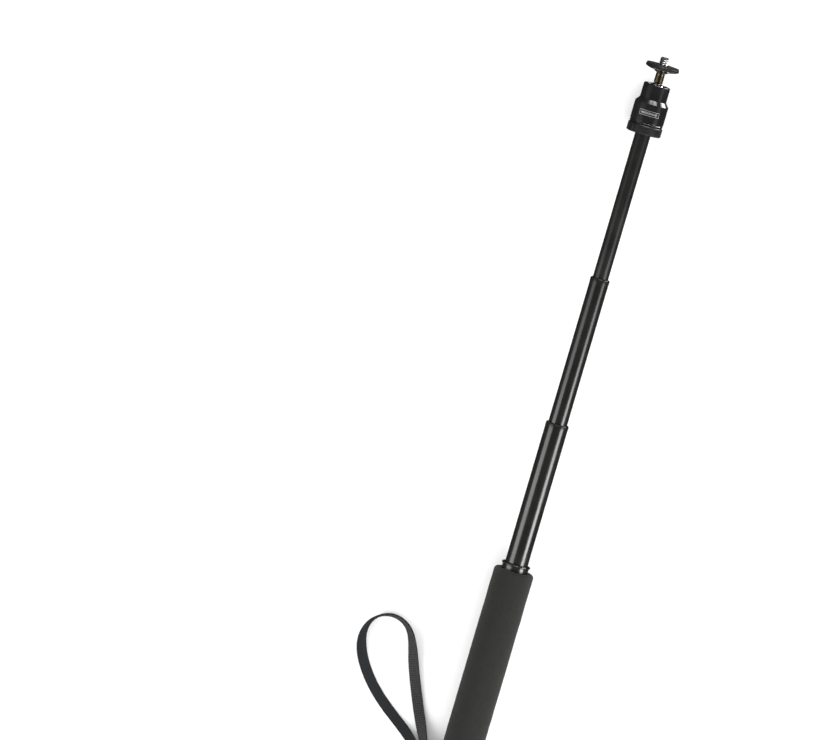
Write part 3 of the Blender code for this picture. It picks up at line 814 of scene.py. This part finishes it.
@dataclass
class Handle:
    """What the hand holds: end cap, foam grip and the glossy collar in its mouth."""

    cap_corner: float = 3.0 * MM
    cap_bore: float = 6.5 * MM
    cap_floor: float = 2.4 * MM
    cap_shoulder: float = 19.0
    spigot_radius: float = 8.45 * MM
    port_station: float = 11.5
    port_size: tuple[float, float] = (11.0 * MM, 5.2 * MM)
    port_corner: float = 1.6 * MM
    foam_bore: float = 9.7 * MM
    foam_mouth_bore: float = 8.85 * MM
    foam_corner: float = 2.3 * MM
    foam_ripple: float = 0.30 * MM
    collar_bore: float = 7.75 * MM
    collar_radius: float = 8.75 * MM
    collar_flange: float = 9.5 * MM

    def build_cap(self) -> Piece:
        """Model the end cap, with its shadow groove and the strap's rounded port."""
        span = Span.of("end_cap")
        shoulder = station(self.cap_shoulder)
        radius = span.radius
        groove, groove_depth = 1.0 * MM, 0.45 * MM
        dimple = 5.2 * MM
        outline: Outline = [
            (span.up(0.5), 0), (span.up(0.5), dimple - 0.5 * MM),
            (span.start, dimple)]
        outline += curve((span.start + self.cap_corner, radius - self.cap_corner), self.cap_corner,
                         180, 90, 9)
        outline += [
            (shoulder - 2.2 * MM, radius), (shoulder - 2.2 * MM, radius - groove_depth),
            (shoulder - 2.2 * MM + groove, radius - groove_depth),
            (shoulder - 2.2 * MM + groove, radius), (shoulder, radius),
            (shoulder, self.spigot_radius), (span.end, self.spigot_radius),
            (span.end, self.cap_bore), (span.start + self.cap_floor, self.cap_bore),
            (span.start + self.cap_floor, 0)]
        cap = Turning("strap_end_cap", outline, edge=0.25 * MM).build()
        self.cut_port(cap, radius)
        return cap

    def cut_port(self, cap: Piece, radius: float) -> None:
        """Cut the strap's port through the cap's side.

        Args:
            cap: The end cap.
            radius: Its outer radius.
        """
        clear_selection()
        reach = radius + 2 * MM
        bpy.ops.mesh.primitive_cube_add(size=1, location=(station(self.port_station), reach / 2, AXIS))
        cutter = bpy.context.object
        cutter.scale = (self.port_size[0], reach, self.port_size[1])
        bpy.ops.object.transform_apply(location=True, rotation=True, scale=True)

        def runs_out(edge: bpy.types.MeshEdge) -> bool:
            """Say whether an edge runs out through the cap's side."""
            first, second = (cutter.data.vertices[index].co.y for index in edge.vertices)
            return abs(first - second) > reach / 2

        select_only(cutter, "EDGE", runs_out)
        bpy.ops.mesh.bevel(offset=self.port_corner, segments=5, affect="EDGES")
        enter("OBJECT")
        apply_modifier(cap, "BOOLEAN", object=cutter, operation="DIFFERENCE", solver="EXACT")
        bpy.data.objects.remove(cutter, do_unlink=True)
        settle(cap, 28.0)

    def build_grip(self) -> Piece:
        """Model the foam sleeve, drawn in at its mouth and never quite even."""
        span = Span.of("foam_grip")
        radius = span.radius - 0.04 * MM
        foot_round = 1.2 * MM
        top = span.down(0.7)
        outline: Outline = [(span.start, self.foam_bore)]
        outline += curve((span.start + foot_round, radius - foot_round), foot_round, 180, 90, 6)
        body_start, body_end = span.start + foot_round, top - self.foam_corner
        outline += along(body_start, body_end, radius, 1.5 * MM)[1:-1]
        outline += curve((body_end, radius - self.foam_corner), self.foam_corner, 90, 0, 9)
        outline += [(top, self.foam_mouth_bore + 0.9 * MM),
                    (top - 0.4 * MM, self.foam_mouth_bore),
                    (top - 0.95 * MM, self.foam_mouth_bore),
                    (top - 1.1 * MM, self.foam_bore)]
        grip = Turning("foam_sleeve", outline, segments=144, edge=0.15 * MM, sharp_deg=50).build()
        clouds = bpy.data.textures.new("foam_unevenness", "CLOUDS")
        clouds.noise_scale = 9 * MM
        apply_modifier(grip, "DISPLACE", texture=clouds, texture_coords="LOCAL", mid_level=1.0,
                       strength=self.foam_ripple)
        return settle(grip, 60.0)

    def build_collar(self) -> Piece:
        """Model the collar that closes the handle's mouth: flange, neck and rolled lip."""
        span = Span.of("handle_collar")
        flange_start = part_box("handle_tube")[1].x + 0.3 * MM
        outline: Outline = [
            (span.start, self.collar_bore), (span.start, self.spigot_radius),
            (flange_start, self.spigot_radius), (flange_start, self.collar_flange),
            (flange_start + 1.7 * MM, self.collar_flange),
            (flange_start + 1.7 * MM, self.collar_radius - 0.05 * MM),
            (span.down(1.45), self.collar_radius - 0.05 * MM)]
        outline += [(span.down(1.05), self.collar_flange - 0.12 * MM),
                    (span.down(0.85), self.collar_flange), (span.down(0.35), self.collar_flange)]
        outline += curve((span.down(0.55), self.collar_flange - 0.75 * MM), 0.55 * MM, 65, 0, 5)
        outline += [(span.end, self.collar_bore + 0.35 * MM),
                    (span.down(0.35), self.collar_bore)]
        return Turning("mouth_collar", outline, edge=0.12 * MM).build()

    def dress(self) -> None:
        """Build the handle's pieces and give each its finish."""
        fit(self.build_cap(), "handle", "cap_plastic", CAP_PLASTIC, "end_cap")
        grip = self.build_grip()
        fit(grip, "handle", "grip_foam", GRIP_FOAM, "foam_grip")
        fit(self.build_collar(), "handle", "collar_plastic", COLLAR_GLOSS, "handle_collar")


# --- Telescopic sections


@dataclass
class Section:
    """One drawn tube of the telescope, its mouth rolled in around the next one."""

    name: str
    next_radius: Optional[float]
    finish: Finish
    wall: float = 0.7 * MM
    bead: float = 0.1 * MM

    def build(self) -> Piece:
        """Model the tube from its foot to its rolled or plain mouth."""
        span = Span.of(self.name + "_tube")
        radius = span.radius - (self.bead if self.next_radius else 0.0)
        bore = radius - self.wall
        outline: Outline = [(span.start, bore), (span.start, radius)]
        if self.next_radius:
            lip, outer = self.next_radius + 0.12 * MM, span.radius
            outline += [(span.down(3.3), radius), (span.down(2.7), outer),
                        (span.down(0.75), outer)]
            outline += curve((span.down(0.6), outer - 0.6 * MM), 0.6 * MM, 75, 0, 6)
            outline += [(span.end, lip + 0.15 * MM), (span.down(0.25), lip),
                        (span.down(1.2), lip), (span.down(1.5), bore)]
        else:
            outline += [(span.end, radius), (span.end, bore)]
        return Turning(self.name + "_drawn_tube", outline, edge=0.12 * MM).build()

    def dress(self) -> None:
        """Build the tube and give it its finish."""
        fit(self.build(), self.name + "_section", "black_tube", self.finish, self.name + "_tube")


# --- Ball head


@dataclass
class BallHead:
    """The head's shell, its lock ring, its badge, and the ball with its stem."""

    body_radius: float = 11.0 * MM
    body_top: float = 471.4
    shoulder_top: float = 474.1
    neck_radius: float = 8.7 * MM
    bore: float = 9.3 * MM
    chamber: float = 7.5 * MM
    chamber_floor: float = 470.2
    mouth_radius: float = 7.25 * MM
    lip_radius: float = 5.75 * MM
    lip_station: float = 482.4
    ring_bore: float = 7.9 * MM
    ring_sleeve: float = 9.0 * MM
    ring_top: float = 457.4
    ball_flat_share: float = 5.6 / 6.2
    badge_size: tuple[float, float] = (3.3 * MM, 13.3 * MM)
    badge_cells: tuple[int, int] = (16, 78)
    badge_margin: int = 7
    tick_pitch: int = 4
    tick_insets: tuple[int, int, int] = (4, 5, 5)

    def build_housing(self) -> Piece:
        """Model the shell: foot groove, straight body, bright shoulder, neck and flared mouth."""
        span = Span.of("head_housing")
        start, top = span.start, span.end
        radius, groove = self.body_radius, 0.42 * MM
        outline: Outline = [
            (start, self.bore), (start, radius - 0.45 * MM), (start + 0.45 * MM, radius),
            (start + 0.75 * MM, radius), (start + 1.25 * MM, radius - groove),
            (start + 1.40 * MM, radius - groove), (start + 1.65 * MM, radius),
            (station(self.body_top), radius),
            (station(self.shoulder_top), self.neck_radius + 0.1 * MM),
            (station(self.shoulder_top + 0.4), self.neck_radius)]
        outline += curve((top - 0.9 * MM, self.neck_radius - 0.9 * MM), 0.9 * MM, 90, 20, 6)
        outline += [
            (top, self.mouth_radius + 0.25 * MM), (top - 0.15 * MM, self.mouth_radius),
            (station(self.lip_station), self.lip_radius),
            (station(self.lip_station - 0.1), self.lip_radius),
            (station(self.lip_station - 0.1), self.chamber),
            (station(self.chamber_floor), self.chamber), (station(self.chamber_floor), self.bore)]
        return Turning("head_shell", outline, edge=0.14 * MM, segments=144).build()

    def build_ring(self) -> Piece:
        """Model the lock ring, with a fluted band between its two chamfers."""
        span = Span.of("lock_ring")
        start, top = span.start, station(self.ring_top)
        radius, chamfer, recess = span.radius, 0.5 * MM, 8.8 * MM
        outline: Outline = [
            (start, recess), (start, radius - chamfer), (start + chamfer, radius),
            (top - chamfer, radius), (top, radius - chamfer), (top, self.ring_sleeve),
            (span.end, self.ring_sleeve), (span.end, self.ring_bore),
            (start + 1.6 * MM, self.ring_bore), (start + 1.6 * MM, recess)]
        ring = Turning("knurled_lock_ring", outline, edge=0.12 * MM, segments=132).build()
        flute(ring, start + chamfer, top - chamfer, radius - 0.1 * MM, 0.12 * MM, 0.10 * MM)
        return ring

    def build_ball(self) -> Piece:
        """Model the ball, with its flat top and the hole that the stem is pressed into."""
        span = Span.of("ball")
        radius = (span.end - span.start) / (1 + self.ball_flat_share)
        centre = span.start + radius
        flat = span.end - centre
        flat_deg = math.degrees(math.acos(flat / radius))
        hole = 1.7 * MM
        outline: Outline = [(span.start, 0)]
        outline += curve((centre, 0), radius, 178, flat_deg, 34)
        outline += [(span.end, hole), (centre + 0.6 * MM, hole), (centre + 0.6 * MM, 0)]
        return Turning("head_ball", outline, edge=0.12 * MM, segments=96, sharp_deg=30).build()

    def build_stem(self) -> Piece:
        """Model the stem: a pressed-in spigot, a plain shank and two turned witness grooves."""
        span = Span.of("ball_stem")
        shank_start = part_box("ball")[1].x + 0.3 * MM
        radius, spigot, bore = span.radius, 1.55 * MM, 2.05 * MM
        groove = 0.14 * MM
        outline: Outline = [(span.start, 0), (span.start, spigot), (shank_start, spigot),
                            (shank_start, radius)]
        for place in (span.down(1.5), span.down(0.9)):
            outline += [(place, radius), (place + groove, radius - groove),
                        (place + 2 * groove, radius)]
        outline += [(span.end, radius), (span.end, bore), (span.down(3), bore),
                    (span.down(3), 0)]
        return Turning("brass_stem", outline, edge=0.15 * MM, segments=96).build()

    def build_badge(self) -> Piece:
        """Model the badge: a dark curved plate with a raised frame and an even index scale."""
        low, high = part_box("badge_plate")
        length, width = self.badge_size
        middle = (low.x + high.x) / 2
        clear_selection()
        bpy.ops.mesh.primitive_grid_add(
            x_subdivisions=self.badge_cells[0], y_subdivisions=self.badge_cells[1], size=1,
            location=(middle, 0, AXIS + self.body_radius + 0.12 * MM))
        badge = bpy.context.object
        badge.name = badge.data.name = "index_badge"
        badge.scale = (length, width, 1)
        bpy.ops.object.transform_apply(location=True, rotation=True, scale=True)
        enter("EDIT")
        bpy.ops.mesh.select_all(action="SELECT")
        bpy.ops.mesh.extrude_region_move(TRANSFORM_OT_translate={"value": (0, 0, -0.08 * MM)})
        enter("OBJECT")
        settle(badge)
        badge.data.materials.append(HEAD_BLACK.material())
        badge.data.materials.append(BADGE_SILVER.material())
        self.raise_scale(badge, middle)
        self.wrap(badge)
        return settle(badge, 30.0)

    def raise_scale(self, badge: Piece, middle: float) -> None:
        """Raise the badge's frame and its evenly spaced ticks.

        Args:
            badge: The flat badge.
            middle: Its middle's x.
        """
        length, width = self.badge_size
        columns, rows = self.badge_cells

        def raised(face: bpy.types.MeshPolygon) -> bool:
            """Say whether a face of the upper side belongs to the frame or to a tick."""
            if face.normal.z < 0.5:
                return False
            column = int((face.center.x - middle + length / 2) / length * columns)
            row = int((face.center.y + width / 2) / width * rows)
            edge_column, edge_row = min(column, columns - 1 - column), min(row, rows - 1 - row)
            if edge_column == 0 or edge_row == 0:
                return True
            tick, within = divmod(row, self.tick_pitch)
            inset = self.tick_insets[tick % len(self.tick_insets)]
            return edge_row >= self.badge_margin and within in (1, 2) and edge_column >= inset

        select_only(badge, "FACE", raised)
        bpy.ops.mesh.extrude_region_move(TRANSFORM_OT_translate={"value": (0, 0, 0.10 * MM)})
        badge.active_material_index = 1
        bpy.ops.object.material_slot_assign()
        enter("OBJECT")

    def wrap(self, badge: Piece) -> None:
        """Lay the flat badge round the shell, keeping each point's distance along the arc."""
        for vertex in badge.data.vertices:
            angle = vertex.co.y / self.body_radius
            radius = vertex.co.z - AXIS
            vertex.co.y = radius * math.sin(angle)
            vertex.co.z = AXIS + radius * math.cos(angle)

    def dress(self) -> None:
        """Build the head's pieces and give each its finish."""
        fit(self.build_housing(), "upper_section", "black_head", HEAD_BLACK, "head_housing")
        fit(self.build_ring(), "lock_ring", "black_head", KNURL_BLACK, "lock_ring")
        fit(self.build_ball(), "ball_tilt", "chrome", BALL_CHROME, "ball")
        fit(self.build_stem(), "ball_tilt", "stem_brass", STEM_BRASS, "ball_stem")
        fit(self.build_badge(), "upper_section", "badge_silver", None, "badge_plate")


# --- Camera seat


@dataclass
class CameraSeat:
    """What the camera screws down on: collar, dish, plate, rubber pad and screw."""

    shank_bore: float = 2.05 * MM
    screw_bore: float = 3.4 * MM
    shank_radius: float = 1.9 * MM
    thread_pitch: float = 1.27 * MM
    thread_depth: float = 0.52 * MM

    def build_collar(self) -> Piece:
        """Model the small flared collar on the stem's top."""
        span = Span.of("stem_collar")
        foot = 3.25 * MM
        outline: Outline = [(span.start, self.shank_bore), (span.start, foot),
                            (span.up(0.2), foot + 0.05 * MM),
                            (span.down(0.15), span.radius), (span.end, span.radius),
                            (span.end, self.shank_bore)]
        return Turning("stem_nut", outline, edge=0.08 * MM, segments=96).build()

    def build_dish(self) -> Piece:
        """Model the bright dish under the plate, its underside a shallow curve."""
        span = Span.of("dish_washer")
        foot = 4.9 * MM
        outline: Outline = [(span.start, self.shank_bore), (span.start, foot)]
        rise = span.down(0.2) - span.start
        for share in np.linspace(0.15, 1.0, 8):
            outline.append((span.start + rise * float(share) ** 1.35,
                            foot + (span.radius - foot) * float(share)))
        outline += [(span.end, span.radius), (span.end, self.shank_bore)]
        return Turning("bright_dish", outline, edge=0.06 * MM, segments=128).build()

    def build_plate(self) -> Piece:
        """Model the round plate, with a finely fluted rim."""
        span = Span.of("camera_plate")
        radius, chamfer = span.radius, 0.22 * MM
        outline: Outline = [(span.start, self.screw_bore), (span.start, radius - chamfer),
                            (span.start + chamfer, radius), (span.end - chamfer, radius),
                            (span.end, radius - chamfer), (span.end, self.screw_bore)]
        plate = Turning("seat_plate", outline, edge=0.06 * MM, segments=144).build()
        flute(plate, span.start + chamfer, span.end - chamfer, radius - 0.08 * MM, 0.09 * MM,
              0.07 * MM)
        return plate

    def build_pad(self) -> Piece:
        """Model the rubber pad, with ring grooves in the face that the camera sits on."""
        span = Span.of("rubber_pad")
        rim = span.radius - 0.15 * MM
        groove_width, groove_depth = 0.45 * MM, 0.22 * MM
        outline: Outline = [(span.start, self.screw_bore), (span.start, span.radius),
                            (span.down(0.15), span.radius), (span.end, rim)]
        for radius in np.arange(rim - 1.1 * MM, self.screw_bore + 1.2 * MM, -1.35 * MM):
            radius = float(radius)
            outline += [(span.end, radius), (span.end - groove_depth, radius - 0.08 * MM),
                        (span.end - groove_depth, radius - groove_width + 0.08 * MM),
                        (span.end, radius - groove_width)]
        outline.append((span.end, self.screw_bore))
        return Turning("ringed_pad", outline, edge=0.05 * MM, segments=112).build()

    def build_screw(self) -> Piece:
        """Model the camera screw: a plain shank and a stud with a real helical thread."""
        span = Span.of("camera_screw")
        stud_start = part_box("camera_plate")[0].x
        tip = 0.6 * MM
        outline: Outline = [(span.start, 0), (span.start, self.shank_radius),
                            (stud_start, self.shank_radius)]
        outline += along(stud_start, span.end - tip, span.radius, self.thread_pitch / 14)
        outline += [(span.end, span.radius - tip), (span.end, 0)]
        screw = Turning("camera_stud", outline, segments=64, edge=0.02 * MM).build()
        run_in = 0.7 * MM
        for vertex in screw.data.vertices:
            radius = radius_of(vertex.co)
            if vertex.co.x < stud_start + 0.1 * MM or radius < self.shank_radius + 0.2 * MM:
                continue
            turn = math.atan2(vertex.co.y, vertex.co.z - AXIS) / (2 * math.pi)
            phase = ((vertex.co.x - stud_start) / self.thread_pitch + turn) % 1.0
            flank = min(1.0, abs(2 * phase - 1) * 1.25)
            fade = min(1.0, (vertex.co.x - stud_start) / run_in)
            deeper = self.thread_depth * flank * fade
            share = max(radius - deeper, self.shank_radius + 0.3 * MM) / radius
            vertex.co.y *= share
            vertex.co.z = AXIS + (vertex.co.z - AXIS) * share
        return settle(screw, 40.0)

    def dress(self) -> None:
        """Build the seat's pieces and give each its finish."""
        fit(self.build_collar(), "camera_seat", "black_head", HEAD_BLACK, "stem_collar")
        fit(self.build_dish(), "camera_seat", "dish_chrome", DISH_CHROME, "dish_washer")
        fit(self.build_plate(), "camera_seat", "black_head", KNURL_BLACK, "camera_plate")
        fit(self.build_pad(), "camera_seat", "pad_rubber", PAD_RUBBER, "rubber_pad")
        fit(self.build_screw(), "camera_seat", "steel", SCREW_STEEL, "camera_screw")


# --- Inner pieces


@dataclass(frozen=True)
class InnerPieces:
    """The CAD nodes that keep their own shape, and the finish that each one gets."""

    finishes: tuple[tuple[Finish, tuple[str, ...]], ...] = (
        (RAW_ALUMINIUM, ("handle_tube", "head_core")),
        (CLAMP_BRASS, ("strap_crimp", "lower_friction_ring", "middle_friction_ring",
                       "upper_friction_ring")),
        (NYLON, ("lower_plug", "middle_plug", "upper_plug", "top_plug", "pressure_cup",
                 "seat_ring")),
        (SCREW_STEEL, ("head_stud", "cam_pin")),
    )

    def dress(self) -> None:
        """Give each inner piece its finish in its own material slots."""
        for finish, nodes in self.finishes:
            for node in nodes:
                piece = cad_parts[node]
                piece.data.materials.clear()
                piece.data.materials.append(finish.material())
                log.info("%s keeps its shape, finish %s", node, finish.name)


# --- Studio


@dataclass(frozen=True)
class Softbox:
    """A soft light, placed by its direction from a point on the stick."""

    name: str
    towards: tuple[float, float, float]
    distance: float
    size: tuple[float, float]
    radiance: float
    centre_x: float = 0.0
    colour: Colour = (1.0, 1.0, 1.0)

    def build(self) -> None:
        """Add the light, facing the stick, its longer side along the stick where it can be."""
        direction = Vector(self.towards).normalized()
        aim = Vector((self.centre_x, 0, AXIS))
        clear_selection()
        bpy.ops.object.light_add(type="AREA", location=aim + direction * self.distance)
        light = bpy.context.object
        light.name = light.data.name = self.name
        light.data.shape = "RECTANGLE"
        light.data.size, light.data.size_y = self.size
        light.data.color = self.colour
        light.data.energy = self.radiance * math.pi * self.size[0] * self.size[1]
        along_stick = Vector((1, 0, 0)) if abs(direction.x) < 0.5 else Vector((0, 1, 0))
        across = direction.cross(along_stick).normalized()
        light.rotation_euler = facing(across.cross(direction), across, direction).to_euler()
        light.visible_camera = False


@dataclass(frozen=True)
class SideBank:
    """Soft lights hung over one another beside the stick, so that they fade towards its head."""

    side: str
    towards: tuple[float, float, float]
    height: float
    reaches: tuple[tuple[float, float], ...]
    distance: float = 0.95
    foot: float = -1.0

    def build(self) -> None:
        """Add one light for each reach, from the shared foot to its own end along the stick."""
        for number, (end, radiance) in enumerate(self.reaches):
            length = end - self.foot
            Softbox(f"{self.side}_bank_{number}", self.towards, self.distance + 0.01 * number,
                    (length, self.height), radiance, (end + self.foot) / 2).build()


@dataclass(frozen=True)
class Studio:
    """A pale floor, an even pale surround, and soft lights on both sides of the stick."""

    floor_size: float = 40.0
    floor_drop: float = 0.15 * MM
    banks: tuple[SideBank, ...] = (
        SideBank("left", (0, 0.85, 0.53), 0.72,
                 ((-0.26, 3.6), (-0.16, 1.3), (-0.05, 0.7), (0.62, 0.35))),
        SideBank("right", (0, -0.87, 0.48), 0.46,
                 ((-0.26, 9.5), (-0.16, 3.4), (-0.05, 1.5), (0.62, 0.6))),
    )
    lights: tuple[Softbox, ...] = (
        Softbox("head_front", (0.955, -0.07, 0.23), 0.9, (0.50, 0.17), 25.0, 0.2),
        Softbox("head_side", (0.62, -0.78, 0.06), 0.9, (0.30, 0.08), 22.0, 0.2),
        Softbox("under_table_card", (0.66, -0.66, -0.38), 0.9, (0.30, 0.46), 20.0, 0.2),
    )

    def build_floor(self) -> None:
        """Add the floor, which glossy surfaces don't mirror, so that dark edges stay dark."""
        clear_selection()
        bpy.ops.mesh.primitive_plane_add(size=self.floor_size, location=(0, 0, -self.floor_drop))
        floor = bpy.context.object
        floor.name = "studio_floor"
        floor.visible_glossy = False
        floor.data.materials.append(self.paper())

    def paper(self) -> bpy.types.Material:
        """Return the floor's matt paper, with a hardly visible change of tone."""
        made = bpy.data.materials.new("studio_paper")
        made.use_nodes = True
        bench = NodeBench(made.node_tree)
        slow = bench.noise(bench.position(), 1.5, 2.0)
        colour = bench.blend(slow, (0.86, 0.86, 0.855), (0.88, 0.88, 0.88))
        shader = made.node_tree.nodes["Principled BSDF"]
        made.node_tree.links.new(colour, shader.inputs["Base Color"])
        shader.inputs["Roughness"].default_value = 0.9
        shader.inputs["Specular IOR Level"].default_value = 0.1
        return made

    def build_surround(self) -> None:
        """Light the room evenly, but keep it dark in mirror reflections."""
        world = bpy.data.worlds.new("studio_surround")
        bpy.context.scene.world = world
        world.use_nodes = True
        bench = NodeBench(world.node_tree)
        path = bench.add("LightPath")
        background = world.node_tree.nodes["Background"]
        glossy_only = bench.maths("SUBTRACT", path.outputs["Is Glossy Ray"],
                                  path.outputs["Is Diffuse Ray"])
        strength = bench.spread(glossy_only, 0.0, 1.0, 1.0, 0.03)
        world.node_tree.links.new(strength, background.inputs["Strength"])
        background.inputs["Color"].default_value = (1.0, 1.0, 1.0, 1.0)

    def build(self) -> None:
        """Add the floor, the surround and every light."""
        bpy.context.scene.view_settings.view_transform = "Standard"
        self.build_floor()
        self.build_surround()
        for light in self.banks + self.lights:
            light.build()


def main() -> None:
    """Build the camera, the strap, every sub-assembly and the studio, in that order."""
    logging.basicConfig(level=logging.INFO, format="%(name)s: %(message)s")
    Viewpoint().build()
    WristStrap().dress()
    Handle().dress()
    radii = {name: Span.of(name + "_tube").radius for name in ("middle", "upper")}
    Section("lower", radii["middle"] - 0.1 * MM, GLOSS_TUBE).dress()
    Section("middle", radii["upper"], GLOSS_TUBE).dress()
    Section("upper", None, SATIN_TUBE).dress()
    BallHead().dress()
    CameraSeat().dress()
    InnerPieces().dress()
    Studio().build()


if __name__ == "__main__":
    main()
